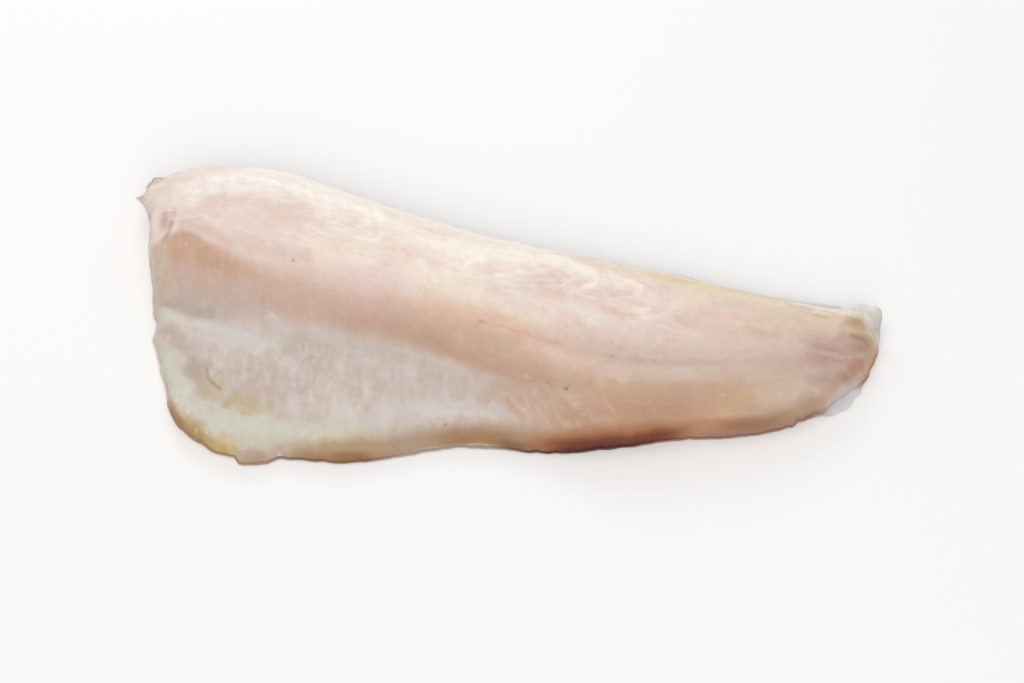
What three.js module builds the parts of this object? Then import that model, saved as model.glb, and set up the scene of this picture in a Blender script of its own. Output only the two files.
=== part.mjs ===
// A skin-on trout fillet that lies flesh side up: a slab of muscle on its own skin.
// Millimetres. +X runs from the head end to the tail, +Y from the belly to the back, +Z up from the skin.
import * as THREE from "three";

const { clamp, lerp, smoothstep } = THREE.MathUtils;

// Driving dimensions
const skinThickness = 0.8;
const skinShow = 0.45; // how far the skin reaches past the flesh all round
const flapThickness = 5; // belly flap, beside the rib cage
const grooveDepth = 0.9; // where the backbone lay
const grooveHalfWidth = 3.5;
const crestPlace = 0.75; // thickest line of the back muscle, as a share of the way from belly to back
const crestPower = 1.6; // how evenly the muscle falls away below that line
const slopeEase = 0.03; // the slope to the belly flap lies this share below its two lines
const ventShare = { from: 0.48, to: 0.68 }; // the belly hollow fades out between these shares of the length

// How far the top rounds over before it meets the skin, and how square the shoulder is
const bellyRoll = { width: 5, square: 2 };
const backRoll = { width: 15, square: 2 };
const headRoll = { width: 7, square: 2.6 };
const headTipRoll = { width: 14, square: 1.3 }; // the thin ragged tip where the head end meets the back
const headTipShare = { from: 0.7, to: 0.95 }; // shares of the width between which the roll widens
const tailRoll = { width: 10, square: 1.8 };
const backUnderRoll = { width: 17, power: 2.1 }; // where the skin leaves the table along the back

// Slow swells of the soft flesh: height, and the spacing of the waves lengthways and across
const longSwell = { height: 0.35, lengthways: 8.5, across: 10, sway: 1.4 };
const crossSwell = { height: 0.25, lengthways: 23, across: 5.5 };

// Loose skin at the tail: a strip that lies past the flesh, and a corner that curls up
const tailStrip = { x: 109.5, y: -31.5, spread: 12, reach: 4 };
const tailCurl = { x: 121.8, y: -3, spread: 7.6, reach: 4.3, lift: 3.6, extraThickness: 1.6 };

// Mesh steps along, across and past the rim
const columns = 48;
const rows = 24;
const rimSteps = 2;

// A smooth plan line through a few points
const line = (...points) => new THREE.SplineCurve(points.map(([x, y]) => new THREE.Vector2(x, y)));

// A size that changes smoothly along the fillet, from evenly spaced values between head and tail
function along(...values) {
  const curve = new THREE.SplineCurve(values.map((value, i) => new THREE.Vector2(i, value)));
  return (u) => curve.getPoint(u).y;
}

// Outline of the flesh: the two long sides from head to tail, the two ends from belly to back
const backSide = line(
  [-121.6, 49.6], [-119.4, 51.8], [-116.4, 52.2], [-114.4, 52.3], [-111.4, 54], [-108.4, 53.4],
  [-103.4, 55.6], [-98.4, 55.6], [-93, 54.5], [-84, 54.4], [-70, 51.2], [-52, 43.8], [-30, 35.1],
  [4, 24.8], [30, 19.4], [42, 16.4], [62, 12.7], [72, 9.4], [98, 3.5], [118, -0.6],
);
const bellySide = line(
  [-103.4, -43], [-99.4, -46], [-96.4, -47.4], [-93.6, -49.8], [-88, -51.6], [-83.6, -54.4], [-76, -54.4],
  [-72, -52], [-59, -53.4], [-46, -53.4], [-33, -51.4], [-14, -47.9], [6, -49.7], [20, -50.2], [40, -47.9],
  [58, -45.6], [74, -44.8], [88, -42.4], [98, -38.4], [106.5, -33.2], [115, -27.5],
);
const headEnd = line(
  [-103.4, -43], [-107.4, -38.4], [-109.4, -33.4], [-110.4, -28.6], [-113.4, -19.8], [-114.6, -14.4],
  [-116.3, -6.6], [-115.7, -1.6], [-117.5, 3.4], [-118, 11], [-120.3, 22.2], [-121, 28], [-121, 35],
  [-121.4, 39.6], [-122.8, 42], [-125.6, 44], [-124, 46.6], [-121.6, 49.6],
);
const tailEnd = line([115, -27.5], [119, -22.4], [123, -15.5], [123.8, -8.5], [118, -0.6]);

// Sizes along the length
const loinHeight = along(15.5, 19.5, 20, 18.5, 15.5, 12.5, 9.5);
const lowerDrop = along(0.5, 0.45, 0.4, 0.32, 0.26, 0.24, 0.24); // how much lower it is at the belly side
const spinePlace = along(0.72, 0.61, 0.54, 0.46, 0.405, 0.39, 0.38); // the backbone, as a share of the width
const ribPlace = along(0.46, 0.42, 0.39, 0.31, 0.22, 0.17, 0.15); // foot of the rib cage, above the flap
const backLift = along(6.5, 8, 8, 7, 5.5, 4.5, 3.5); // the skin's height above the table at the back edge

// Footprint: a patch stretched between the four sides, u from head to tail and v from belly to back
function footprint(u, v) {
  const blend = (a, b, t) => a.clone().lerp(b, t);
  const acrossSides = blend(bellySide.getPointAt(u), backSide.getPointAt(u), v);
  const acrossEnds = blend(headEnd.getPointAt(v), tailEnd.getPointAt(v), u);
  const headCorners = blend(headEnd.getPointAt(0), headEnd.getPointAt(1), v);
  const tailCorners = blend(tailEnd.getPointAt(0), tailEnd.getPointAt(1), v);
  return acrossSides.add(acrossEnds).sub(blend(headCorners, tailCorners, u));
}

const widthAt = (u) => bellySide.getPointAt(u).distanceTo(backSide.getPointAt(u));
const lengthAt = (v) => headEnd.getPointAt(v).distanceTo(tailEnd.getPointAt(v));

// Share of the full height at a distance from a rounded edge
function roundOver(distance, { width, square }) {
  const t = clamp(distance / width, 0, 1);
  return (1 - (1 - t) ** square) ** (1 / square);
}

// The head end's roll, which widens into the thin tip
function headRollAt(v) {
  const share = smoothstep(v, headTipShare.from, headTipShare.to);
  return {
    width: lerp(headRoll.width, headTipRoll.width, share),
    square: lerp(headRoll.square, headTipRoll.square, share),
  };
}

// Height of the flesh away from its edges: the back muscle, the groove, and the slope down to the belly flap
function muscleHeight(u, v) {
  const belowCrest = Math.max(0, (crestPlace - v) / crestPlace);
  const muscle = loinHeight(u) * (1 - lowerDrop(u) * belowCrest ** crestPower);
  const fromSpine = ((v - spinePlace(u)) * widthAt(u)) / grooveHalfWidth;
  const groove = grooveDepth * Math.exp(-fromSpine * fromSpine);
  const hollow = 1 - smoothstep(u, ventShare.from, ventShare.to);
  const slope = 1 - smoothstep(v, ribPlace(u) - slopeEase, spinePlace(u) - slopeEase);
  return lerp(muscle - groove, flapThickness, slope * hollow);
}

function swell({ x, y }) {
  const long = Math.sin(x / longSwell.lengthways + longSwell.sway * Math.sin(y / longSwell.across));
  const cross = Math.sin(y / crossSwell.across - x / crossSwell.lengthways);
  return longSwell.height * long + crossSwell.height * cross;
}

// Underside of the flesh, where the skin is joined to it
function underside(u, v) {
  const place = footprint(u, v);
  const fromBack = clamp(((1 - v) * widthAt(u)) / backUnderRoll.width, 0, 1);
  const lift = backLift(u) * (1 - fromBack) ** backUnderRoll.power;
  return new THREE.Vector3(place.x, place.y, skinThickness + lift);
}

// Upper face of the flesh. It meets the underside along the rim.
function upperFace(u, v) {
  const point = underside(u, v);
  const round =
    roundOver(v * widthAt(u), bellyRoll) *
    roundOver((1 - v) * widthAt(u), backRoll) *
    roundOver(u * lengthAt(v), headRollAt(v)) *
    roundOver((1 - u) * lengthAt(v), tailRoll);
  point.z += (muscleHeight(u, v) + swell(point) - point.z) * round;
  return point;
}

// Directions along the underside at a place: towards the tail and towards the back
const slopeStep = 0.004;
function towardsTail(u, v) {
  return underside(Math.min(u + slopeStep, 1), v).sub(underside(Math.max(u - slopeStep, 0), v)).normalize();
}
function towardsBack(u, v) {
  return underside(u, Math.min(v + slopeStep, 1)).sub(underside(u, Math.max(v - slopeStep, 0))).normalize();
}

// Unit vector that points down and out of the skin
function skinNormal(u, v) {
  const inside = (t) => clamp(t, slopeStep, 1 - slopeStep);
  const [a, b] = [inside(u), inside(v)];
  return towardsBack(a, b).cross(towardsTail(a, b)).normalize();
}

// Unit vector that leaves the rim square to it, in line with the skin
function rimOutward(u, v) {
  const way = new THREE.Vector3();
  if (v === 0) way.add(towardsTail(u, v));
  if (u === 1) way.add(towardsBack(u, v));
  if (v === 1) way.sub(towardsTail(u, v));
  if (u === 0) way.sub(towardsBack(u, v));
  return skinNormal(u, v).cross(way).normalize();
}

// A loose place of the skin takes full effect at its middle and none past its spread
function nearness(point, { x, y, spread }) {
  return 1 - smoothstep(Math.hypot(point.x - x, point.y - y), 0, spread);
}

// The skin's inner face past the rim: past is 0 at the rim and 1 at the skin's edge
function skinInside(u, v, past) {
  const rim = underside(u, v);
  const loosened = (loose) => loose.reach * nearness(rim, loose);
  const reach = skinShow + loosened(tailStrip) + loosened(tailCurl);
  const lift = tailCurl.lift * nearness(rim, tailCurl);
  const turn = (past * Math.PI) / 2;
  const outward = rimOutward(u, v).multiplyScalar(reach * Math.sin(turn));
  return rim.add(outward).add(new THREE.Vector3(0, 0, lift * (1 - Math.cos(turn))));
}

// The skin's outer face, under the flesh and past the rim
function skinOutside(u, v, past) {
  const inside = past === 0 ? underside(u, v) : skinInside(u, v, past);
  const thickness = skinThickness + past * tailCurl.extraThickness * nearness(underside(u, v), tailCurl);
  return inside.addScaledVector(skinNormal(u, v), thickness);
}

// Steps that crowd towards both ends, so that the rounded edges get more facets
function steps(count) {
  const crowding = 0.75;
  const even = Array.from({ length: count + 1 }, (_, i) => i / count);
  return even.map((t) => lerp(t, (1 - Math.cos(Math.PI * t)) / 2, crowding));
}

// Grid places round the rim in order: along the belly, up the tail, back along the back and down the head
function rimPlaces() {
  const places = [];
  for (let i = 0; i < columns; i++) places.push([i, 0]);
  for (let j = 0; j < rows; j++) places.push([columns, j]);
  for (let i = columns; i > 0; i--) places.push([i, rows]);
  for (let j = rows; j > 0; j--) places.push([0, j]);
  return places;
}

// A closed shell from an upper face, a lower face and the lines round the rim between them.
// Without rim lines the two faces share their edge.
function shell(above, below, rimLines = []) {
  const positions = [];
  const triangles = [];
  const uSteps = steps(columns);
  const vSteps = steps(rows);
  const rim = rimPlaces();
  const addPoint = (point) => positions.push(point.x, point.y, point.z) / 3 - 1;
  const quad = (a, b, c, d) => triangles.push(a, b, c, a, c, d);

  const top = uSteps.map((u) => vSteps.map((v) => addPoint(above(u, v))));
  const onRim = (i, j) => i === 0 || j === 0 || i === columns || j === rows;
  const bottom = uSteps.map((u, i) =>
    vSteps.map((v, j) => (rimLines.length === 0 && onRim(i, j) ? top[i][j] : addPoint(below(u, v)))),
  );
  for (let i = 0; i < columns; i++) {
    for (let j = 0; j < rows; j++) {
      quad(top[i][j], top[i + 1][j], top[i + 1][j + 1], top[i][j + 1]);
      quad(bottom[i][j], bottom[i][j + 1], bottom[i + 1][j + 1], bottom[i + 1][j]);
    }
  }

  if (rimLines.length > 0) {
    const loops = rimLines.map((lineAt) => rim.map(([i, j]) => addPoint(lineAt(uSteps[i], vSteps[j]))));
    loops.unshift(rim.map(([i, j]) => top[i][j]));
    loops.push(rim.map(([i, j]) => bottom[i][j]));
    for (let n = 0; n + 1 < loops.length; n++) {
      for (let k = 0; k < rim.length; k++) {
        const next = (k + 1) % rim.length;
        quad(loops[n + 1][k], loops[n + 1][next], loops[n][next], loops[n][k]);
      }
    }
  }

  const geometry = new THREE.BufferGeometry();
  geometry.setAttribute("position", new THREE.Float32BufferAttribute(positions, 3));
  geometry.setIndex(triangles);
  geometry.computeVertexNormals();
  return geometry;
}

function makeFlesh() {
  const material = new THREE.MeshStandardMaterial({ color: 0xe2c6b2, roughness: 0.35, metalness: 0 });
  const flesh = new THREE.Mesh(shell(upperFace, underside), material);
  flesh.name = "flesh";
  return flesh;
}

function makeSkin() {
  const material = new THREE.MeshStandardMaterial({ color: 0x7d7270, roughness: 0.4, metalness: 0 });
  const reaches = Array.from({ length: rimSteps }, (_, i) => (i + 1) / rimSteps);
  const rimLines = [
    ...reaches.map((past) => (u, v) => skinInside(u, v, past)),
    ...reaches.toReversed().map((past) => (u, v) => skinOutside(u, v, past)),
  ];
  const skin = new THREE.Mesh(shell(underside, (u, v) => skinOutside(u, v, 0), rimLines), material);
  skin.name = "skin";
  return skin;
}

// The origin is the middle of the footprint, on the table
const fillet = new THREE.Group();
fillet.add(makeFlesh(), makeSkin());
const middle = new THREE.Box3().setFromObject(fillet, true).getCenter(new THREE.Vector3());
fillet.position.set(-middle.x, -middle.y, 0);

export default fillet;
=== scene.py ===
import math
from types import SimpleNamespace
import bpy
import numpy as np
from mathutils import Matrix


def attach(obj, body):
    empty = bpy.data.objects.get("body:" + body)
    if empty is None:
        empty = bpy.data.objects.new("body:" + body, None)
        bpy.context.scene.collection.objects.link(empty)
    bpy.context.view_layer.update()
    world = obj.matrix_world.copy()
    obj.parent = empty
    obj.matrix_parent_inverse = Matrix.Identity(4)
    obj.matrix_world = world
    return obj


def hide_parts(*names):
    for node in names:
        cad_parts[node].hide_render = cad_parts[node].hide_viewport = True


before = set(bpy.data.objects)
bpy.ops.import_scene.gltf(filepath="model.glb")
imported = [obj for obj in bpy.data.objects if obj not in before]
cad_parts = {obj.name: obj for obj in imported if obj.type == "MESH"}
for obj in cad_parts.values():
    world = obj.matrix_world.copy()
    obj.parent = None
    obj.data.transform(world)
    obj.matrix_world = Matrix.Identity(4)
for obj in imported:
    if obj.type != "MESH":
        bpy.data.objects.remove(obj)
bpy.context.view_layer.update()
mm = 0.001
print("frame loaded:", sorted(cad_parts))


# small helpers

def workOn(piece):
    bpy.ops.object.select_all(action="DESELECT")
    piece.select_set(True)
    bpy.context.view_layer.objects.active = piece


def copyOfNode(node, name):
    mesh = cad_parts[node].data.copy()
    mesh.materials.clear()
    piece = bpy.data.objects.new(name, mesh)
    bpy.context.scene.collection.objects.link(piece)
    workOn(piece)
    bpy.ops.object.mode_set(mode="EDIT")
    bpy.ops.mesh.select_all(action="SELECT")
    bpy.ops.mesh.remove_doubles(threshold=0.00001)
    bpy.ops.mesh.tris_convert_to_quads(face_threshold=math.pi, shape_threshold=math.pi)
    bpy.ops.object.mode_set(mode="OBJECT")
    return piece


def readPoints(piece):
    count = len(piece.data.vertices)
    places = np.zeros(count * 3)
    normals = np.zeros(count * 3)
    piece.data.vertices.foreach_get("co", places)
    piece.data.vertex_normals.foreach_get("vector", normals)
    return places.reshape(-1, 3) / mm, normals.reshape(-1, 3)


def movePoints(piece, places):
    piece.data.vertices.foreach_set("co", (places * mm).ravel())
    piece.data.update()


def store(piece, name, kind, field, values, domain="POINT"):
    attribute = piece.data.attributes.new(name, kind, domain)
    attribute.data.foreach_set(field, values.astype(np.float32).ravel())


def creaseRim(piece, amount, spots):
    # the rim is where faces that look up meet faces that look down; ragged tips keep their points
    mesh = piece.data
    sides = np.zeros((2, len(mesh.edges)))
    for face in mesh.polygons:
        for loop in face.loop_indices:
            sides[int(face.normal.z > 0.03), mesh.loops[loop].edge_index] = 1
    store(piece, "crease_edge", "FLOAT", "value", amount * sides[0] * sides[1], "EDGE")
    x, y = planPlace(readPoints(piece)[0])
    points = np.zeros(len(x))
    for spotX, spotY, reach in spots:
        points = np.maximum(points, 0.9 * (np.hypot(x - spotX, y - spotY) < reach))
    store(piece, "crease_vert", "FLOAT", "value", points)


def rounded(piece, levels):
    modifier = piece.modifiers.new("rounding", "SUBSURF")
    modifier.levels = levels
    modifier.render_levels = levels
    workOn(piece)
    bpy.ops.object.modifier_apply(modifier="rounding")


def subdivideTop(piece, lowestNormal):
    workOn(piece)
    bpy.ops.object.mode_set(mode="EDIT")
    bpy.ops.mesh.select_mode(type="FACE")
    bpy.ops.mesh.select_all(action="DESELECT")
    bpy.ops.object.mode_set(mode="OBJECT")
    normals = np.zeros(len(piece.data.polygons) * 3)
    piece.data.polygons.foreach_get("normal", normals)
    piece.data.polygons.foreach_set("select", normals.reshape(-1, 3)[:, 2] > lowestNormal)
    bpy.ops.object.mode_set(mode="EDIT")
    bpy.ops.mesh.subdivide(number_cuts=1, smoothness=0.6)
    bpy.ops.object.mode_set(mode="OBJECT")


def toScene(screen):
    # screen colour to scene colour
    share = np.clip(np.array(screen, float) / 255, 0, 1)
    return np.where(share <= 0.04045, share / 12.92, ((share + 0.055) / 1.055) ** 2.4)


def tone(red, green, blue):
    return (*toScene((red, green, blue)).tolist(), 1.0)


def blended(under, over, mask):
    return under + (np.array(over) - under) * np.clip(mask, 0, 1)[:, None]


def paint(piece, name, values):
    store(piece, name, "FLOAT", "value", np.clip(values, 0, 1))


def paintTone(piece, name, screen):
    store(piece, name, "FLOAT_COLOR", "color", np.hstack([toScene(screen), np.ones((len(screen), 1))]))


# plan measures, all in millimetres from this point of the frame
planMiddle = (0.46, -0.32)


def planPlace(places):
    return places[:, 0] - planMiddle[0], places[:, 1] - planMiddle[1]


def ramp(low, high, value):
    t = np.clip((value - low) / (high - low), 0, 1)
    return t * t * (3 - 2 * t)


def fade(low, high, value):
    return 1 - ramp(low, high, value)


def lineAt(points, x):
    # smooth line through given points, as y for each x
    px, py = np.array(points, float).T
    slope = np.gradient(py, px)
    i = np.clip(np.searchsorted(px, x) - 1, 0, len(px) - 2)
    wide = px[i + 1] - px[i]
    t = np.clip((x - px[i]) / wide, 0, 1)
    start = (2 * t + 1) * (1 - t) ** 2 * py[i] + t * (1 - t) ** 2 * wide * slope[i]
    return start + t * t * (3 - 2 * t) * py[i + 1] - t * t * (1 - t) * wide * slope[i + 1]


def softNoise(x, y, size, seed):
    lattice = np.random.default_rng(seed).uniform(-1, 1, (128, 128))
    gx = x / size + 64
    gy = y / size + 64
    ix = np.floor(gx).astype(int)
    iy = np.floor(gy).astype(int)
    fx = ramp(0, 1, gx - ix)
    fy = ramp(0, 1, gy - iy)
    low = lattice[ix % 128, iy % 128] * (1 - fx) + lattice[(ix + 1) % 128, iy % 128] * fx
    high = lattice[ix % 128, (iy + 1) % 128] * (1 - fx) + lattice[(ix + 1) % 128, (iy + 1) % 128] * fx
    return low * (1 - fy) + high * fy


def fromLine(x, y, points):
    # distance from a bent line
    best = np.full(x.shape, 1e9)
    for (ax, ay), (bx, by) in zip(points[:-1], points[1:]):
        t = np.clip(((x - ax) * (bx - ax) + (y - ay) * (by - ay)) / ((bx - ax) ** 2 + (by - ay) ** 2), 0, 1)
        best = np.minimum(best, np.hypot(x - ax - t * (bx - ax), y - ay - t * (by - ay)))
    return best


def ribbon(x, y, points, width, soft, ragged=0.0):
    fray = softNoise(x, y, 3.5, 5) + 0.5 * softNoise(x, y, 1.4, 6)
    return fade(width - soft, width + soft, fromLine(x, y, points) + ragged * fray)


def blob(x, y, middle, size, turn=0.0, ragged=0.25, soft=0.35):
    c = math.cos(math.radians(turn))
    s = math.sin(math.radians(turn))
    dx = x - middle[0]
    dy = y - middle[1]
    away = np.hypot((dx * c + dy * s) / size[0], (dy * c - dx * s) / size[1])
    return fade(0.8 - soft, 0.8 + soft, away + ragged * softNoise(x, y, 3.0, 8))


def edgeTable(along, across, count, farSide):
    # outermost point of each slice
    slices = np.linspace(along.min(), along.max(), count + 1)
    middles = (slices[:-1] + slices[1:]) / 2
    place = np.clip(np.searchsorted(slices, along) - 1, 0, count - 1)
    rim = np.full(count, -1e9 if farSide else 1e9)
    outermost = np.maximum if farSide else np.minimum
    outermost.at(rim, place, across)
    return middles, rim


def edgeOf(along, across, count, farSide):
    return np.interp(along, *edgeTable(along, across, count, farSide))


def fromSide(x, y, farSide):
    # distance from the belly side or, far, from the back side
    slices = np.linspace(x.min() + 0.5, x.max() - 0.5, 80)
    return fromLine(x, y, list(zip(slices, np.interp(slices, *edgeTable(x, y, 80, farSide)))))


def fromHead(x, y):
    return x - edgeOf(y, x, 60, False)


def fromEdge(x, y):
    sides = np.minimum(fromSide(x, y, False), fromSide(x, y, True))
    return np.minimum(sides, np.minimum(fromHead(x, y), edgeOf(y, x, 60, True) - x))


# node helpers

def newMaterial(name):
    material = bpy.data.materials.new(name)
    material.use_nodes = True
    return material, material.node_tree, material.node_tree.nodes["Principled BSDF"]


def feed(tree, socket, value):
    if hasattr(value, "is_output"):
        tree.links.new(value, socket)
    else:
        socket.default_value = value


def newNode(tree, kind, inputs):
    # each input gets its value or its link
    node = tree.nodes.new("ShaderNode" + kind)
    for name, value in inputs.items():
        feed(tree, node.inputs[name], value)
    return node


def math2(tree, operation, first, second):
    node = newNode(tree, "Math", {0: first, 1: second})
    node.operation = operation
    return node.outputs[0]


def times(tree, first, second):
    return math2(tree, "MULTIPLY", first, second)


def spread(tree, value, low, high, toLow=0.0, toHigh=1.0):
    node = newNode(tree, "MapRange", {"Value": value, "From Min": low, "From Max": high,
                                      "To Min": toLow, "To Max": toHigh})
    node.interpolation_type = "SMOOTHSTEP"
    return node.outputs["Result"]


def mixTone(tree, under, over, share):
    node = tree.nodes.new("ShaderNodeMix")
    node.data_type = "RGBA"
    feed(tree, node.inputs[0], share)
    feed(tree, node.inputs[6], under)
    feed(tree, node.inputs[7], tone(*over))
    return node.outputs[2]


def painted(tree, name, output="Fac"):
    node = tree.nodes.new("ShaderNodeAttribute")
    node.attribute_type = "GEOMETRY"
    node.attribute_name = name
    return node.outputs[output]


def stretched(tree, vector, scale):
    return newNode(tree, "Mapping", {"Vector": vector, "Scale": scale}).outputs["Vector"]


def noiseAt(tree, vector, scale, detail=3.0, rough=0.55, bend=0.0, output="Fac"):
    node = newNode(tree, "TexNoise", {"Vector": vector, "Scale": scale, "Detail": detail,
                                      "Roughness": rough, "Distortion": bend})
    return node.outputs[output]


def cellsAt(tree, vector, scale, uneven=1.0):
    return newNode(tree, "TexVoronoi", {"Vector": vector, "Scale": scale, "Randomness": uneven}).outputs


def objectPlace(tree):
    return tree.nodes.new("ShaderNodeTexCoord").outputs["Object"]


def raised(tree, height, distance, strength, before=None):
    node = newNode(tree, "Bump", {"Strength": strength, "Distance": distance, "Height": height})
    if before is not None:
        tree.links.new(before, node.inputs["Normal"])
    return node.outputs["Normal"]


# shared effect: long broken streaks, laid over the flesh three times

def makeStreakGroup():
    group = bpy.data.node_groups.new("brokenStreaks", "ShaderNodeTree")
    for name in ("Place", "Low", "High"):
        kind = "NodeSocketVector" if name == "Place" else "NodeSocketFloat"
        group.interface.new_socket(name, in_out="INPUT", socket_type=kind)
    for name in ("Mask", "Height"):
        group.interface.new_socket(name, in_out="OUTPUT", socket_type="NodeSocketFloat")
    start = group.nodes.new("NodeGroupInput").outputs
    end = group.nodes.new("NodeGroupOutput").inputs
    fine = noiseAt(group, start["Place"], 1.0, 5.0, 0.6, 0.3)
    patches = noiseAt(group, stretched(group, start["Place"], (0.35, 0.12, 0.3)), 1.0, 2.0)
    mixed = math2(group, "ADD", times(group, fine, 0.6), times(group, patches, 0.4))
    group.links.new(spread(group, mixed, start["Low"], start["High"]), end["Mask"])
    group.links.new(fine, end["Height"])
    return group


streakGroup = makeStreakGroup()


def streaked(tree, colour, place, mask, look):
    # colour with the streaks laid over it, and their height
    stretch, low, high, over, strength = look
    node = tree.nodes.new("ShaderNodeGroup")
    node.node_tree = streakGroup
    feed(tree, node.inputs["Place"], stretched(tree, place, stretch))
    node.inputs["Low"].default_value = low
    node.inputs["High"].default_value = high
    share = times(tree, node.outputs["Mask"], times(tree, mask, strength))
    return mixTone(tree, colour, over, share), node.outputs["Height"]


# places along the outline that stay pointed: x, y and reach
raggedSpots = [(-125, 44, 3.0), (-120, 51, 3.0), (-116, -6, 2.5), (-84, -54, 2.5)]

# small tugs at the outline: x, y, shift and reach
outlineTugs = [
    (-125.8, 44.6, -1.3, 1.2, 1.5), (-124.4, 47.2, 1.0, 0.3, 1.6), (-125.4, 42.8, 1.5, 0.2, 1.4),
    (-123.8, 41.0, 0.7, 0.2, 1.5), (-121.2, 33.4, 0.4, 0.0, 2.6), (-119.6, 50.8, -0.7, 0.6, 1.3),
    (-116.6, 52.8, 0.0, -0.6, 1.2), (-113.0, 53.6, 0.0, 0.5, 1.2), (-109.6, 54.0, 0.0, -0.4, 1.4),
    (-116.6, 0.6, -0.7, 0.0, 1.6), (-116.6, -3.0, 0.5, 0.0, 1.4), (-116.4, -9.6, -0.6, 0.0, 1.8),
    (-113.0, -18.6, 0.5, 0.0, 1.5), (-84.6, -55.0, -0.7, -0.5, 1.3), (-86.6, -52.8, 0.3, 0.6, 1.4),
    (-75.2, -55.0, 0.7, -0.2, 1.5), (-72.2, -52.4, -0.3, 0.7, 1.3), (10.6, -50.2, 0.0, 0.4, 0.9),
    (17.0, -50.6, 0.0, 0.4, 0.9), (31.6, -49.4, 0.0, 0.5, 1.2), (41.4, -47.8, 0.0, -0.4, 1.3),
    (60.0, -46.2, 0.0, 0.4, 1.6), (93.6, -40.8, 0.3, -0.6, 1.0), (96.4, -39.6, -0.2, 0.5, 1.0),
    (107.0, -36.6, 0.0, -0.5, 1.2), (120.2, -24.2, 1.2, -0.4, 2.6), (112.6, -36.6, 1.0, 0.1, 2.4),
    (126.4, 0.6, -1.5, -1.0, 2.4), (117.6, -27.6, 0.5, -1.1, 2.2),
]

# flesh: plan lines and sizes
fleshForm = {
    "spine": [(-122, 20.6), (-116, 21.4), (-112.6, 22.2), (-109.8, 23.6), (-106, 24.4), (-102.7, 22.6),
              (-98.7, 19.4), (-93.9, 16.8), (-88, 13.8), (-80, 10.2), (-64, 7), (-52, 3.8), (-39, 0),
              (-27, -4.6), (-17, -8.2), (-7, -11.4), (6, -15.4), (25, -20.2), (40, -23.4), (62, -24),
              (82, -23), (102, -21.4), (122, -20)],
    "rib": [(-122, 0), (-111, -1.6), (-102, -3.6), (-92, -4.4), (-82, -5), (-74, -7), (-65, -9),
            (-54, -11.4), (-37, -14.2), (-27.6, -17.2), (-16, -20.8), (-2.3, -25.4), (13.3, -30.6),
            (20, -32.4), (26, -37), (32, -46), (40, -58), (60, -70), (130, -70)],
    "ridge": [(-112, 40), (-100, 42.6), (-84.5, 43), (-69.9, 40.8), (-54.3, 35), (-45.5, 29.6),
              (-34.4, 24), (-28, 19.6), (-12, 15), (1, 13), (12, 13)],
    "fat": [(-110.4, -19), (-107, -28), (-103, -34.6), (-98, -38.6), (-90, -42.6), (-83, -43.6),
            (-70, -44.4), (-58, -45.6), (-47, -45)],
    "wall": [(-102, -14), (-84, -18), (-62, -24), (-40, -29), (-8, -35)],
    "rearWall": [(-2, -36), (10, -38), (22, -41), (36, -43)],
    "rearLine": [(34, 1), (60, -5), (84, -9), (104, -10)],
    "fleckLine": [(-6, -30), (24, -34), (60, -30), (96, -22)],
    "goldLine": [(36, 10.6), (52, 8.4), (66, 6), (84, 4.2), (100, 2)],
    "headFolds": [(1.0, [(-111.5, 28.2), (-112.1, 24.6), (-112.7, 22.8), (-113.4, 21.2)]),
                  (0.6, [(-110.9, 33.4), (-110.7, 30.6)]), (0.6, [(-114, 31.4), (-113.7, 27)])],
    "bellyFold": [(-97.3, -22.4), (-96.6, -25.7), (-94.5, -28.1), (-92.4, -30)],
    "bellyKnot": [(-92.2, -26), (-91.4, -28), (-91.4, -30)],
    "tailFold": [(114.8, -12.4), (116.6, -12.6), (118.6, -12.8), (120.2, -14.2)],
    "spineLine": [(-7.3, -11.4), (-1.6, -12.9), (7.2, -15.6), (12.2, -17.5), (18, -19)],
    "seamPitch": 6.2, "seamBow": 8.0, "seamHeight": 0.06, "lumpHeight": 0.16, "fineHeight": 0.05,
    "membraneStep": 0.22, "rimLump": 0.35, "foldDepth": 0.5, "strokeHeight": 0.14, "edgeWobble": 0.3,
    "pitDepth": 0.2, "fleckHeight": 0.25, "tailLap": 1.6, "nubCurl": (2.2, 0.8, 0.4),
}
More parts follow.
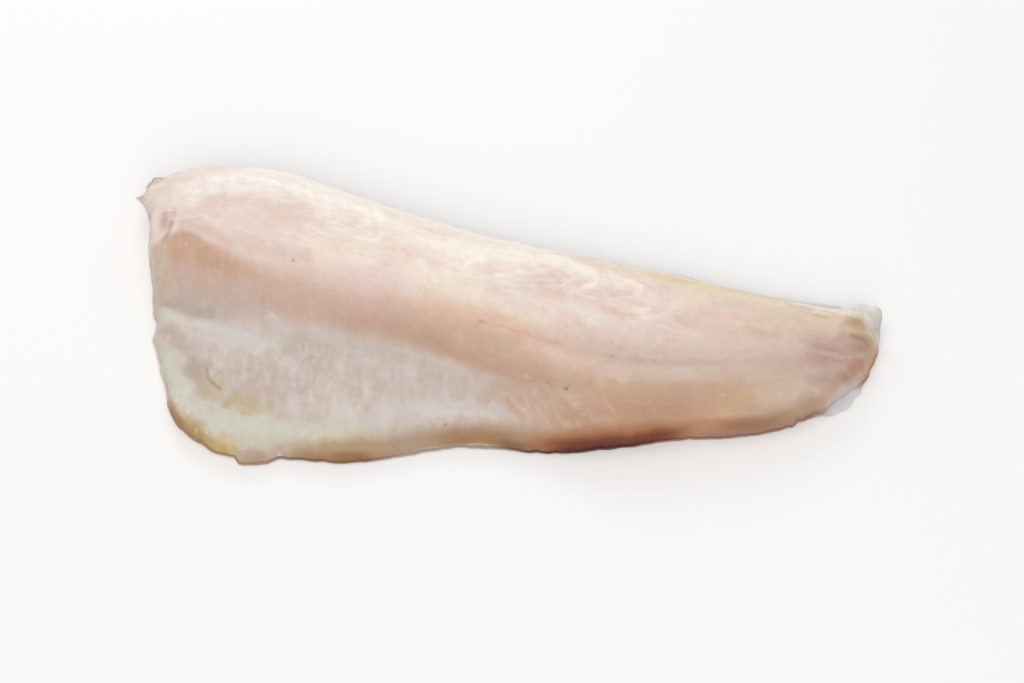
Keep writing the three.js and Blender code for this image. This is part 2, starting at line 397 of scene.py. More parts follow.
# tones as they look on screen
fleshTones = {
    "loinRose": (232, 212, 203), "loinCream": (241, 226, 212), "loinTan": (222, 197, 180),
    "nearSpine": (211, 184, 168), "white": (254, 246, 236), "lilacWhite": (237, 228, 222),
    "headLilac": (247, 239, 236), "rosy": (236, 208, 197), "peach": (230, 200, 186),
    "peachGold": (227, 197, 175), "backCream": (250, 241, 228), "backYellow": (237, 220, 196),
    "backGold": (228, 205, 160), "spineGold": (221, 182, 154), "spineDeep": (209, 170, 146),
    "bandTan": (202, 162, 136), "bandPink": (212, 180, 165), "bandGrey": (195, 178, 167),
    "bandDeep": (195, 157, 133), "bandLight": (213, 183, 162), "oliveCream": (206, 189, 169),
    "olive": (188, 171, 134), "belly": (206, 192, 184), "bellyRose": (198, 177, 167),
    "bellyLilac": (210, 203, 201), "bellyGreen": (207, 202, 188), "bellyTan": (200, 171, 154),
    "bellyBrown": (187, 167, 152), "bellyWhite": (218, 211, 204), "milk": (212, 208, 201),
    "flapShade": (182, 166, 152), "fat": (206, 207, 192), "fatTan": (204, 197, 176),
    "foldOlive": (174, 156, 135), "foldDark": (156, 138, 118), "knot": (205, 181, 148),
    "rimBrown": (164, 118, 70), "rimGold": (186, 153, 100), "rimTan": (176, 150, 124),
    "rimHoney": (165, 125, 84), "rimUmber": (128, 92, 68), "rimYellow": (209, 187, 134),
    "rimRust": (172, 115, 77), "rimRed": (116, 52, 31), "rimDark": (82, 42, 30),
    "rimRose": (166, 128, 112), "tab": (182, 154, 131), "silver": (196, 184, 174),
    "rearTan": (190, 150, 123), "rearCream": (218, 194, 170), "tailTan": (202, 168, 142),
    "tailOchre": (178, 147, 118), "tailRust": (159, 112, 85), "tailGold": (203, 168, 128),
    "tailPink": (202, 177, 163), "tailLight": (222, 202, 182), "tailGrey": (178, 153, 137),
    "tailRose": (188, 152, 140), "tailCut": (181, 144, 130), "salmon": (188, 138, 118),
    "orange": (198, 160, 132), "gold": (190, 154, 118), "tailCream": (240, 230, 212),
    "tailOlive": (168, 140, 118), "stripFade": (206, 199, 199), "tailFoldShade": (166, 130, 112),
    "midline": (196, 168, 155), "midPale": (212, 193, 181), "rearLilac": (224, 206, 197),
    "headFold": (196, 165, 156), "headPink": (205, 181, 173), "headRimShade": (208, 187, 180),
    "headCream": (238, 224, 207), "fleck": (226, 203, 191), "spot": (150, 112, 96),
}
# strokes laid one by one: tone, strength, half width and the places the brush went through
loinStrokes = [
    # the pale strokes along the top of the head loin are partly its pale flesh and partly a painted soft
    # highlight
    ("lilacWhite", 0.6, 4.5, [(-112, 38), (-104, 40.4), (-96, 41.4), (-87, 41.6), (-78, 40)]),
    ("headLilac", 0.6, 3.4, [(-108, 42), (-98, 43.6), (-86, 43.8), (-74, 41.6), (-64, 38.6), (-56, 35.6)]),
    ("headLilac", 0.7, 1.0, [(-106, 38.4), (-102, 40.4), (-96, 41.2)]),
    ("headLilac", 0.6, 0.9, [(-104, 35.8), (-100, 38.2), (-94, 39.4), (-88, 39.8)]),
    ("white", 0.5, 1.4, [(-99, 43.8), (-91, 44.6), (-82, 43.4)]),
    ("headLilac", 0.5, 1.0, [(-92, 37.4), (-87, 38.8), (-79, 38.4)]),
    ("headLilac", 0.5, 0.8, [(-84, 35.8), (-76, 36.6), (-68, 35.4)]),
    ("headLilac", 0.5, 0.8, [(-74, 33.8), (-66, 33.6), (-58, 31.4)]),
    ("nearSpine", 0.45, 2.6, [(-90, 19), (-78, 15), (-66, 12.2)]),
    ("bandPink", 0.5, 1.8, [(-107, 26.8), (-102, 25.4), (-97, 21.6), (-92, 18.4)]),
    ("rosy", 0.5, 1.8, [(-38, 15), (-32, 14), (-26, 12)]),
    ("peachGold", 0.5, 3.0, [(-24, -1.6), (-10, -6.4), (0, -9.4)]),
    ("loinRose", 0.4, 2.4, [(-56, 9.4), (-44, 6), (-32, 1.8), (-22, -1.4)]),
    ("bandLight", 0.65, 3.4, [(-14, -15.6), (0, -20), (12, -24), (24, -27)]),
    ("rosy", 0.45, 2.6, [(8, -19.2), (12.3, -20.6), (19.7, -23.6), (28.4, -26.6), (38, -28.8)]),
    ("loinTan", 0.4, 2.0, [(-98, 35.2), (-91, 35), (-84, 34.6)]),
    ("loinTan", 0.4, 1.5, [(-80, 31.4), (-74, 31.2), (-68, 32)]),
    ("loinTan", 0.35, 1.4, [(-76, 27.8), (-70, 26.8), (-64.8, 26.8)]),
    ("white", 0.6, 0.9, [(-48.3, 23.2), (-43, 25), (-39.1, 26)]),
    ("white", 0.6, 0.8, [(-48.2, 19.2), (-44, 18), (-41.4, 18.6), (-40.6, 20.8)]),
    ("rosy", 0.7, 0.9, [(-26.8, 9.4), (-23.6, 7.6)]),
    ("white", 0.6, 0.8, [(-27.8, 10.4), (-24.7, 6.1), (-22, 3.2)]),
    ("white", 0.7, 0.9, [(-13.2, 8), (-10.6, 10.1), (-4.4, 12.8)]),
    ("white", 0.45, 0.9, [(-1.7, 4.9), (5.6, 6.5), (13.5, 6.9)]),
    ("white", 0.5, 0.7, [(19.6, 2), (21, 4), (23.4, 5.4)]),
    ("white", 0.8, 1.6, [(2, 12.2), (13, 11.8), (21, 9.8), (27, 7.4)]),
    ("white", 0.95, 1.6, [(4, 14), (14, 13.8), (21, 12.4), (26.5, 9.8), (30.6, 7)]),
    ("white", 0.8, 0.8, [(30, 7.6), (31.4, 5.8), (30.4, 3.8), (28.6, 2.8), (26.4, 2)]),
    ("white", 0.6, 1.0, [(35.4, 8.6), (38.4, 6.6), (41.6, 4.8), (45, 3.2)]),
    ("white", 0.45, 0.7, [(35.4, 8), (36.6, 5.6), (38.6, 3.6)]),
    ("white", 0.4, 0.7, [(42, 6), (45.2, 4.6), (45.6, 1.6), (44.2, -0.6)]),
    ("white", 0.4, 0.7, [(50.4, 0), (50, -2.6), (47.4, -5.4), (42, -6.2)]),
    ("white", 0.3, 0.7, [(56, -1), (55.4, -4.4), (52, -7.6), (46, -8.8)]),
    ("spineGold", 0.6, 3.0, [(-26, -7), (-12, -9.6), (-1.6, -11.8), (8, -14.6)]),
    ("fleck", 0.7, 0.6, [(13.6, -21.6), (16.6, -22.8), (20, -23.6)]),
    ("midline", 0.5, 1.2, [(34, -22.6), (42, -24.2), (52, -24.8), (61, -24.4), (72, -24)]),
    ("midline", 0.4, 0.5, [(43, -24.2), (47, -24.6), (52, -24.8)]),
    ("midline", 0.4, 0.5, [(56, -24.8), (60.7, -24.4), (64, -24.6)]),
    ("peach", 0.5, 1.6, [(62, -6), (72, -7.4), (84, -9)]),
    ("peach", 0.4, 1.2, [(70, -11), (80, -11.6), (90, -12.6)]),
    ("loinTan", 0.7, 2.4, [(57, -9.6), (68, -11.2), (80, -13), (90, -13.8)]),
    ("tailGold", 0.3, 1.4, [(82, -13.2), (90, -13.8)]),
    ("loinCream", 0.6, 2.6, [(46, -1.4), (52, -2), (58, -2.6)]),
    ("rearLilac", 0.55, 3.2, [(34, -15.4), (54, -17.2), (76, -18), (96, -17.4)]),
    ("midPale", 0.45, 1.4, [(26, -19), (38, -21.2), (53, -21.6), (66, -21.6), (84, -20.4)]),
    ("midPale", 0.6, 2.8, [(33, -26), (44, -28), (56, -28), (70, -27.6), (84, -26.6)]),
    ("midPale", 0.4, 1.2, [(36, -26.4), (46, -27.6), (58, -27.4)]),
]
bellyStrokes = [
    ("flapShade", 0.6, 1.6, [(-112.6, 1.6), (-108, 0.4), (-103, -1.4), (-97, -3)]),
    ("milk", 0.95, 1.7, [(-114.6, -0.6), (-110, -3), (-102.8, -6), (-91.8, -8.4), (-82.7, -11.6)]),
    ("bellyWhite", 0.7, 0.9, [(-110, -2.4), (-103.4, -5), (-98, -6.4)]),
    ("bellyLilac", 0.7, 3.0, [(-101, -10), (-90, -12), (-80, -13)]),
    ("bellyBrown", 0.7, 2.6, [(-110.6, -8), (-107.6, -11.6), (-104, -14)]),
    ("bellyWhite", 0.6, 0.6, [(-78.4, -5), (-76.8, -4.2), (-75.2, -5.2)]),
    ("bellyLilac", 0.6, 1.5, [(-74.6, -6.4), (-74, -9), (-74.6, -11)]),
    ("bellyWhite", 0.8, 0.8, [(-81.6, -16.6), (-79, -14.4), (-77, -13.4), (-74.4, -15)]),
    ("foldOlive", 0.5, 2.2, [(-99.8, -25.6), (-98.4, -28.6), (-96.8, -31)]),
    ("bellyBrown", 0.35, 1.8, [(-72, -40.2), (-66, -41), (-60, -41.4)]),
    ("bellyRose", 0.7, 0.6, [(-67, -23), (-66.6, -20.6), (-65.2, -18.7), (-62.6, -17.8)]),
    ("bellyLilac", 0.8, 1.5, [(-72, -19), (-69.4, -20), (-68.4, -22.6)]),
    # a painted soft highlight across the rear of the belly, over its own lilac tone
    ("bellyLilac", 0.8, 2.2, [(-30, -37), (-15.9, -36.8), (-8.8, -37.6), (-2, -39)]),
    ("bellyLilac", 0.4, 2.2, [(-6, -38), (2, -40), (10, -42), (16, -43.6)]),
    ("bellyWhite", 0.6, 1.0, [(-26, -39.4), (-17, -38.6), (-9, -39)]),
    ("bellyLilac", 0.4, 1.1, [(8, -35.6), (11, -39.4), (15.6, -43.6)]),
    ("midPale", 0.4, 0.9, [(16.6, -36), (19.4, -40.4), (23, -45)]),
    ("bellyLilac", 0.4, 2.2, [(-69, -8.4), (-62, -9), (-55, -11)]),
    ("bandDeep", 0.3, 2.2, [(-56, -7.6), (-44, -10), (-32, -13), (-20, -16.6), (-8, -20.6), (6, -25.4),
                            (16, -28.6)]),
    ("bandDeep", 0.3, 1.2, [(-20, -17.6), (-8, -21.8), (6, -26.6), (16, -29.8)]),
]
tailStrokes = [
    ("tailRose", 0.6, 1.0, [(103, -16.6), (110, -18.2), (115.4, -20.6)]),
    ("tailRose", 0.6, 0.8, [(105, -20.8), (111, -20.4), (116.4, -18.6)]),
    ("midPale", 0.5, 0.7, [(104, -18.8), (110, -19.6), (114, -19.6)]),
    ("tailPink", 0.6, 0.8, [(116, -18.8), (119.4, -18.2)]),
    ("orange", 0.9, 1.6, [(121.6, -12.6), (121.8, -16), (120.6, -20), (119, -24)]),
    ("tailCream", 0.95, 1.6, [(98, 1.4), (108, -1), (114, -1.8), (117.4, -1), (120, 0.6)]),
    ("backYellow", 0.7, 2.4, [(60, 3.6), (72, 1.6), (84, 0.8), (92, 0)]),
    ("gold", 0.35, 0.8, [(103.6, -4.6), (107.6, -5.6)]),
    ("tailCream", 0.7, 0.8, [(103, -2.6), (108, -3.8)]),
]
# dabs: tone, strength, middle and size, then turn and raggedness where a list has its own
loinGround = [("loinRose", 0.8, (-92, 29), (26, 10), 0), ("loinRose", 0.8, (46, -4), (34, 9), -8)]
loinDabs = [
    ("lilacWhite", 0.6, (8.5, -3.4), (7, 3)), ("lilacWhite", 0.6, (21, -5.5), (6, 2.6)),
    ("lilacWhite", 0.7, (29, -9.7), (6, 3)), ("peach", 0.7, (16.5, 0.2), (8, 3.2)),
    ("peach", 0.7, (38.6, -6.9), (6, 3)), ("peach", 0.5, (24, 3), (6, 3)),
    ("loinCream", 0.6, (-52, 14), (14, 5)), ("loinCream", 0.6, (62, 0), (8, 4)),
]
bellyDabs = [
    ("olive", 0.95, (-85, -35.6), (8, 3.8), -3, 0.5), ("olive", 0.3, (-97, -28), (5, 6), 20, 0.5),
    ("foldOlive", 0.5, (-102.5, -23.6), (3, 4.4), 20, 0.8),
    ("bellyBrown", 0.5, (-98.6, -21), (3, 5), 30, 0.8),
]
cornerDabs = [
    ("fatTan", 0.8, (-78, -48.6), (11, 3.6), 0, 0.5), ("tab", 0.9, (-80, -55), (7, 3.4), 0, 0.4),
    ("rimYellow", 0.75, (-90.6, -49), (7, 2.4), -27, 0.5),
]
tailDabs = [
    ("tailRose", 0.7, (110, -19.5), (12, 7)), ("tailGrey", 0.7, (106, -29), (9, 3.2)),
    ("tailCut", 0.85, (117.6, -16), (5.4, 4.2)), ("salmon", 0.9, (117.4, -23), (5, 3.6)),
    ("tailOlive", 0.85, (113.6, -27), (5.4, 2.6)), ("gold", 0.95, (116, -7.8), (4.4, 3.4)),
    ("tailCream", 0.9, (122.6, -4.2), (2.6, 4.6)),
]
headDabs = [
    ("headCream", 0.85, (-121, 43.6), (6.5, 5)), ("headPink", 0.6, (-113.2, 28.6), (3, 5.5)),
    ("lilacWhite", 0.6, (-117, 30.4), (1.6, 4.4)),
]
# bands along the lower rim, darker towards the edge, partly the meat's own colour and partly painted shade
# on the wall: tone, strength, the heights they fade over, then start, end and softness
frontBands = [
    ("rimHoney", 0.9, (2.8, 9.2), (-20, 4, 6)), ("rimUmber", 0.8, (1.4, 4.6), (-1, 16, 4)),
    ("rimUmber", 0.8, (1.4, 4.6), (-54, -43, 3)), ("rimRust", 0.65, (1.2, 4.4), (-66, -40, 8)),
    ("rearTan", 0.95, (11, 22), (12, 62, 10)),
]
rearBands = [
    ("tailGold", 0.55, (3, 8), (56, 74, 6)), ("rimRed", 1.0, (2.6, 6.2), (16, 57, 8)),
    ("rimDark", 0.9, (0.8, 2.8), (20, 46, 8)), ("rimRose", 0.75, (1.2, 3.4), (60, 70, 6)),
    ("silver", 0.8, (0.8, 1.9), (-36, -2, 4)), ("rimGold", 0.9, (3.0, 6.8), (-99, -87, 2.5)),
]
tailBands = [
    ("tailOchre", 0.9, (4.5, 12), (80, 108, 8)), ("tailRust", 0.9, (3, 7.5), (70, 90, 6)),
    ("rimRose", 0.75, (1.2, 3.4), (66, 108, 6)),
]
# little marks: tone, strength, x, y and size
# the pale flecks on the head loin and the cream marks along the lower left rim are painted glints
fleshMarks = [
    ("fleck", 0.9, -106.1, 24.6, 1.3), ("fleck", 0.7, -105.8, 18.9, 0.8),
    ("fleck", 0.45, -100.3, 17.8, 0.8), ("spot", 0.7, -69.3, 11.3, 0.6),
    ("spot", 0.45, -7.3, -11.2, 0.6), ("spot", 0.85, 20.3, -32.6, 0.8), ("spot", 0.3, 14.6, -30.0, 0.8),
    ("spot", 0.3, 35.4, -22.9, 0.6), ("spot", 0.3, 35.8, -18.4, 0.6), ("spot", 0.3, 49.0, -23.6, 0.7),
    ("spot", 0.3, -80.0, -0.5, 0.9), ("rimRust", 0.8, -18.4, -43.0, 0.8),
    ("headCream", 0.65, -102.1, -38.9, 0.9), ("headCream", 0.6, -106.4, -34.2, 0.9),
    ("headCream", 0.4, -99.0, -45.2, 0.8), ("headCream", 0.5, -95.5, -46.1, 0.9),
    ("fleck", 0.7, -110.8, -10.4, 0.9), ("bellyWhite", 0.8, -72.2, -52.2, 0.9),
    ("fat", 0.7, -80.6, -49.6, 0.9), ("bandGrey", 0.5, 14, -38.8, 0.9),
]
# short strokes strewn beside a line: seed, count, line, how far away, turn, longest, then the
# half width, softness and raggedness of the tip
strewnStrokes = {
    "feathers": (7, 210, fleshForm["ridge"] + [(30, 8), (52, 3)], (-12, 4), (-12, 10), 15, (0.3, 0.45, 0.1)),
    "wisps": (11, 150, fleshForm["wall"], (-11, 9), (76, 122), 5.5, (0.4, 0.45, 0.25)),
    "shades": (13, 90, fleshForm["wall"], (-9, 9), (72, 128), 5, (0.7, 0.8, 0.4)),
    "rearFibres": (17, 46, fleshForm["rearLine"], (-6, 6), (-10, 6), 9, (0.8, 0.9, 0.5)),
    "wallFibres": (19, 90, fleshForm["rearWall"], (-5, 6), (-58, -34), 8, (0.5, 0.6, 0.3)),
    "flecks": (23, 70, fleshForm["fleckLine"], (-11, 11), (-40, 40), 1.4, (0.2, 0.4, 0.2)),
}


def roughenOutline(piece):
    # a cut edge is never clean
    places = readPoints(piece)[0]
    x, y = planPlace(places)
    loose = fleshForm["edgeWobble"] * fade(0.5, 5, fromEdge(x, y))
    places[:, 0] += loose * (softNoise(x, y, 3.6, 81) + 0.5 * softNoise(x, y, 1.6, 82))
    places[:, 1] += loose * (softNoise(x, y, 3.6, 83) + 0.5 * softNoise(x, y, 1.6, 84))
    for tugX, tugY, shiftX, shiftY, reach in outlineTugs:
        near = np.exp(-((x - tugX) ** 2 + (y - tugY) ** 2) / reach ** 2)
        places[:, 0] += shiftX * near
        places[:, 1] += shiftY * near
    movePoints(piece, places)


def scattered(name):
    # each stroke is its strength and three places on a slight bend
    seed, count, line, away, turn, longest, tip = strewnStrokes[name]
    random = np.random.default_rng(seed)
    strokes = []
    for _ in range(count):
        x = random.uniform(line[0][0], line[-1][0])
        y = lineAt(line, x) + random.uniform(*away)
        lean = math.atan2(lineAt(line, x + 4) - lineAt(line, x - 4), 8)
        angle = math.radians(random.uniform(*turn)) + lean
        bend = random.uniform(-0.22, 0.22)
        half = random.uniform(0.3, 0.5) * longest
        places = [(x - half * math.cos(angle - bend), y - half * math.sin(angle - bend)), (x, y),
                  (x + half * math.cos(angle + bend), y + half * math.sin(angle + bend))]
        strokes.append((random.uniform(0.4, 1.0), places))
    return strokes, tip


def strokeMask(plan, strokes, tip):
    mask = np.zeros(len(plan.x))
    for strength, places in strokes:
        mask = np.maximum(mask, strength * ribbon(plan.x, plan.y, places, *tip))
    return mask


def planOf(piece):
    # everything the relief and the paint are placed by
    places, normals = readPoints(piece)
    x, y = planPlace(places)
    plan = SimpleNamespace(places=places, normals=normals, x=x, y=y)
    plan.wander = softNoise(x, y, 9, 1) + 0.5 * softNoise(x, y, 4, 2)
    plan.toBelly = fromSide(x, y, False)
    plan.toBack = fromSide(x, y, True)
    plan.toHead = fromHead(x, y)
    plan.toEdge = fromEdge(x, y)
    # how far in from the lower edge, counting the height of the wall
    plan.rim = 0.87 * plan.toBelly + 0.5 * places[:, 2] + 0.6 * plan.wander
    spineY = lineAt(fleshForm["spine"], x)
    ribY = lineAt(fleshForm["rib"], x)
    plan.aboveSpine = y - spineY
    plan.belowRib = ribY - y
    plan.inBand = (y - ribY) / np.maximum(spineY - ribY, 6) + 0.1 * plan.wander
    backY = edgeOf(x, y, 90, True)
    plan.loinShare = np.clip(plan.aboveSpine / np.maximum(backY - spineY, 4), -1, 1)
    # seams bow towards the tail, above and below the backbone line
    bowAt = np.where(plan.aboveSpine > 0, plan.loinShare - 0.5, -plan.aboveSpine / 22 - 0.5)
    plan.seamPlace = (x + fleshForm["seamBow"] * 4 * bowAt ** 2 + 2.2 * plan.wander) / fleshForm["seamPitch"]
    soft = 4.2 + 4 * ramp(-6, 20, x) + 4 * fade(-92, -64, x)
    stray = (0.9 - 0.6 * ramp(-72, -46, x)) * plan.wander
    plan.bellyField = ramp(-1, 1, (plan.belowRib + stray) / soft)
    topSoft = 2.2 + 7 * ramp(-104, -62, x)
    band = fade(-1, 0.7, (plan.aboveSpine + 0.6 * plan.wander) / topSoft)
    plan.bandField = band * ramp(-1, 1, (stray - plan.belowRib) / 3) * fade(8, 40, x)
    plan.feathers = strokeMask(plan, *scattered("feathers"))
    plan.wisps = strokeMask(plan, *scattered("wisps"))
    plan.shades = strokeMask(plan, *scattered("shades"))
    plan.headFold = strokeMask(plan, fleshForm["headFolds"], (0.75, 0.7, 0.2))
    plan.tailFold = ribbon(x, y, fleshForm["tailFold"], 0.7, 0.7, 0.3)
    plan.bellyFold = ribbon(x, y, fleshForm["bellyFold"], 0.45, 0.5, 0.2)
    plan.spineLine = ribbon(x, y, fleshForm["spineLine"], 0.7, 0.7, 0.4)
    return plan


def fleshRelief(piece, plan):
    form = fleshForm
    x = plan.x
    y = plan.y
    lift = form["lumpHeight"] * (softNoise(x, y, 12, 3) + 0.6 * softNoise(x, y, 5, 4))
    lift += form["fineHeight"] * (softNoise(x, y, 2.2, 7) + softNoise(x, y, 1.2, 9))
    seams = np.cos(2 * math.pi * plan.seamPlace) * ramp(-2, 4, plan.aboveSpine) * fade(40, 70, x)
    lift += form["seamHeight"] * seams
    lift += form["membraneStep"] * plan.bellyField * fade(6, 16, plan.belowRib)
    lift += form["strokeHeight"] * (plan.feathers + 0.7 * plan.wisps - 0.5 * plan.shades)
    for name, strength, width, places in loinStrokes + bellyStrokes:
        if name in ("white", "bellyWhite"):
            lift += form["strokeHeight"] * strength * ribbon(x, y, places, width, width, 0.4)
    nearRim = fade(3, 9, np.minimum(plan.toBelly, plan.toHead))
    lift += form["rimLump"] * (softNoise(x, y, 4.5, 10) + 0.5 * softNoise(x, y, 1.8, 12)) * nearRim
    folds = 0.6 * plan.headFold + 0.8 * plan.tailFold + 0.6 * plan.bellyFold + 0.4 * plan.spineLine
    lift -= form["foldDepth"] * folds
    for name, strength, markX, markY, size in fleshMarks:
        height = -form["pitDepth"] if name == "spot" else form["fleckHeight"]
        lift += height * np.exp(-((x - markX) ** 2 + (y - markY) ** 2) / size ** 2)
    lift *= ramp(0.0, 0.35, plan.normals[:, 2]) * ramp(0.0, 2.0, plan.toEdge)
    movePoints(piece, plan.places + plan.normals * lift[:, None])


# ways to lay tone on the flesh

def cover(plan, name, mask):
    plan.colour = blended(plan.colour, fleshTones[name], mask)


def brush(plan, strokes):
    for name, strength, width, places in strokes:
        mask = ribbon(plan.x, plan.y, places, width, 0.9 * width, 0.5 * min(width, 1.6))
        cover(plan, name, strength * mask)


def dab(plan, dabs, *shared):
    for name, strength, *own in dabs:
        cover(plan, name, strength * blob(plan.x, plan.y, *own, *shared))


def strew(plan, name, tones, strength):
    # the tones take turns
    strokes, tip = scattered(name)
    for number, (share, places) in enumerate(strokes):
        mask = ribbon(plan.x, plan.y, places, *tip)
        cover(plan, tones[number % len(tones)], strength * share * mask)


def between(plan, low, high, soft):
    # full between two places along the fillet
    along = plan.x + plan.wander
    return ramp(low - soft, low + soft, along) * fade(high - soft, high + soft, along)


def edgeBands(plan, bands):
    for name, strength, heights, reach in bands:
        cover(plan, name, strength * fade(*heights, plan.rim) * between(plan, *reach))


def paintLoin(plan):
    x = plan.x
    y = plan.y
    wander = plan.wander
    dab(plan, loinGround, 0.5)
    cover(plan, "loinTan", 0.75 * ramp(45, 105, x + 3 * wander))
    cover(plan, "nearSpine", 0.85 * ramp(-5, 40, x) * fade(2, 13, np.abs(plan.aboveSpine + wander)))
    toBack = plan.toBack + 2 * wander
    # painted highlight along the bulging back edge, over the cream flesh there
    cover(plan, "backCream", 0.9 * fade(4, 13, toBack) * fade(0, 36, x) * ramp(-100, -80, x))
    cover(plan, "backYellow", ramp(20, 46, x) * fade(3, 12, toBack))
    goldEdge = ribbon(x, y, fleshForm["goldLine"], 1.5, 1.6, 1.5)
    cover(plan, "backGold", 0.7 * ramp(40, 60, x) * fade(90, 104, x) * goldEdge)
    # painted highlight along the ridge, over the paler flesh there
    cover(plan, "white", (0.4 + 0.45 * ramp(-80, -45, x)) * ribbon(x, y, fleshForm["ridge"], 3.2, 4.0, 1.4))
    dab(plan, loinDabs, -10, 0.5, 0.6)
    strew(plan, "rearFibres", ("loinCream", "peach"), 0.45)
    feathers = (0.28 + 0.27 * ramp(-82, -56, x)) * plan.feathers * (1 - 0.6 * ramp(30, 60, x))
    cover(plan, "white", feathers * (1 - plan.bandField))


def paintBand(plan):
    # the band over the ribs, then what lies behind the belly
    x = plan.x
    y = plan.y
    band = plan.bandField
    inBand = plan.inBand
    wander = plan.wander
    cover(plan, "bandPink", band)
    tanHead = fade(-95, -62, x) * ramp(0.5, 0.86, inBand) * ramp(-116, -110, x + wander)
    cover(plan, "bandTan", band * np.maximum(tanHead, 0.9 * ramp(-52, -8, x)))
    cover(plan, "bandGrey", 0.9 * band * fade(-94, -62, x) * fade(0.2, 0.7, inBand))
    oliveSpots = np.maximum(blob(x, y, (-114.6, 14), (4, 8)), blob(x, y, (-111, 6.6), (4, 4)))
    cover(plan, "oliveCream", 0.6 * band * oliveSpots)
    cover(plan, "bandDeep", 0.45 * band * ramp(-60, -20, x) * fade(0.0, 0.4, inBand))
    cover(plan, "tailTan", ramp(-8, 18, x) * fade(74, 98, x) * ramp(-1, 9, wander - plan.aboveSpine))
    cover(plan, "tailGold", 0.55 * blob(x, y, (74, -38), (9, 3.4), 3, 0.7, 0.8))
    cover(plan, "spineDeep", 0.8 * plan.spineLine)


def paintBelly(plan):
    x = plan.x
    y = plan.y
    belly = plan.bellyField
    along = x + 3 * plan.wander
    cover(plan, "belly", belly * fade(-4, 18, along))
    cover(plan, "bellyTan", 0.9 * belly * ramp(-16, 4, along))
    slow = softNoise(x, y * 0.45, 3.4, 51) + 0.7 * softNoise(x, y * 0.4, 1.5, 52)
    other = softNoise(x, y * 0.6, 6, 53) + 0.7 * softNoise(x, y * 0.45, 2.2, 54)
    deep = ramp(1, 13, plan.belowRib)
    cover(plan, "bellyLilac", 0.75 * belly * ramp(0.0, 0.9, slow) * fade(-16, 4, x) * (0.1 + 0.9 * deep))
    cover(plan, "bellyRose", 0.55 * belly * ramp(0.1, 0.9, -slow))
    cover(plan, "bellyGreen", 0.6 * belly * ramp(0.1, 0.9, other) * fade(-20, 0, x))
    cover(plan, "bellyBrown", 0.5 * belly * blob(x, y, (-82, -25), (26, 8), -12, 0.6, 0.7))
    cover(plan, "bellyLilac", 0.5 * belly * blob(x, y, (-36, -39), (18, 6), -4, 0.6, 0.7))
    cover(plan, "bellyRose", 0.55 * belly * plan.shades)
    cover(plan, "bellyWhite", (0.55 - 0.25 * ramp(-60, -30, x)) * belly * plan.wisps)
    fatField = ribbon(x, y, fleshForm["fat"], 3.2, 3.8, 2.4)
    cover(plan, "fat", 0.95 * fatField)
    cover(plan, "fatTan", 0.8 * fatField * ramp(-72, -52, x))
    brush(plan, bellyStrokes)
    dab(plan, bellyDabs, 0.7)
    cover(plan, "foldDark", 0.9 * plan.bellyFold)
    cover(plan, "knot", 0.8 * ribbon(x, y, fleshForm["bellyKnot"], 0.8, 0.7, 0.3))


def paintRim(plan):
    # the cut edge at the head, then the lower rim, darkest behind the belly, and its front corner; the
    # darkening towards the edge is partly the meat's own colour and partly painted shade on the wall
    x = plan.x
    y = plan.y
    rim = plan.rim
    wander = plan.wander
    toHead = plan.toHead + wander
    cover(plan, "oliveCream", 0.8 * fade(1.0, 4.5, toHead) * ramp(-8, 0, y) * fade(8, 28, y + 3 * wander))
    cover(plan, "fat", 0.5 * fade(0.6, 3, toHead) * fade(-8, -2, y))
    wide = 2.8 * ramp(-62, -48, x)
    cover(plan, "rimTan", 0.95 * fade(3 + 0.4 * wide, 7.9 + wide, rim) * between(plan, -72, 30, 12))
    cover(plan, "rimGold", 0.55 * blob(x, y, (-52, -50.6), (13, 2.6), 0, 0.6, 0.8))
    edgeBands(plan, frontBands)
    strew(plan, "wallFibres", ("rearTan", "tailPink", "rearCream"), 0.45 - 0.25 * ramp(8, 26, x))
    high = 1.6 * ramp(12, 24, x) * fade(44, 56, x) - 1.6 * ramp(70, 96, x)
    cover(plan, "rimRust", fade(3.4 + high, 8.2 + high, rim) * between(plan, 10, 94, 10))
    edgeBands(plan, rearBands)
    corner = fade(-98, -93, x + wander) * fade(-37, -25, y + 1.5 * wander)
    cover(plan, "rimGold", 0.75 * fade(2.8, 6.2, rim) * corner)
    cover(plan, "rimBrown", 0.95 * fade(2.2, 5, rim) * corner)
    cover(plan, "rimRust", 0.7 * fade(0.6, 2.0, rim) * corner)
    cover(plan, "rimGold", 0.8 * blob(x, y, (-99.4, -44.6), (5.6, 2.8), -43, 0.4, 0.7))
    headFace = fade(0.8, 2.6, plan.toHead + 0.5 * wander)
    cover(plan, "headPink", 0.7 * headFace * ramp(-37, -33, y) * fade(-27, -22, y))
    dab(plan, cornerDabs, 0.7)


def paintTail(plan):
    along = plan.x
    wander = plan.wander
    upper = ramp(-16, -9, plan.y + wander)
    cover(plan, "tailLight", 0.8 * ramp(70, 98, along + 3 * wander) * upper)
    cover(plan, "tailPink", ramp(70, 112, along + 4 * wander) * (1 - upper) * ramp(6, 12, plan.rim))
    # the lower rim darkens towards the edge, partly the meat's own colour and partly painted shade on the
    # wall
    edgeBands(plan, tailBands)
    dab(plan, tailDabs, 0, 0.35, 0.65)
    brush(plan, tailStrokes)
    # painted shade along the crease at the tail
    cover(plan, "tailFoldShade", 0.6 * plan.tailFold)
    nearStrip = fade(0.5, 3.2, plan.toBelly + 0.3 * wander)
    cover(plan, "stripFade", 0.9 * nearStrip * between(plan, 107, 117, 2))


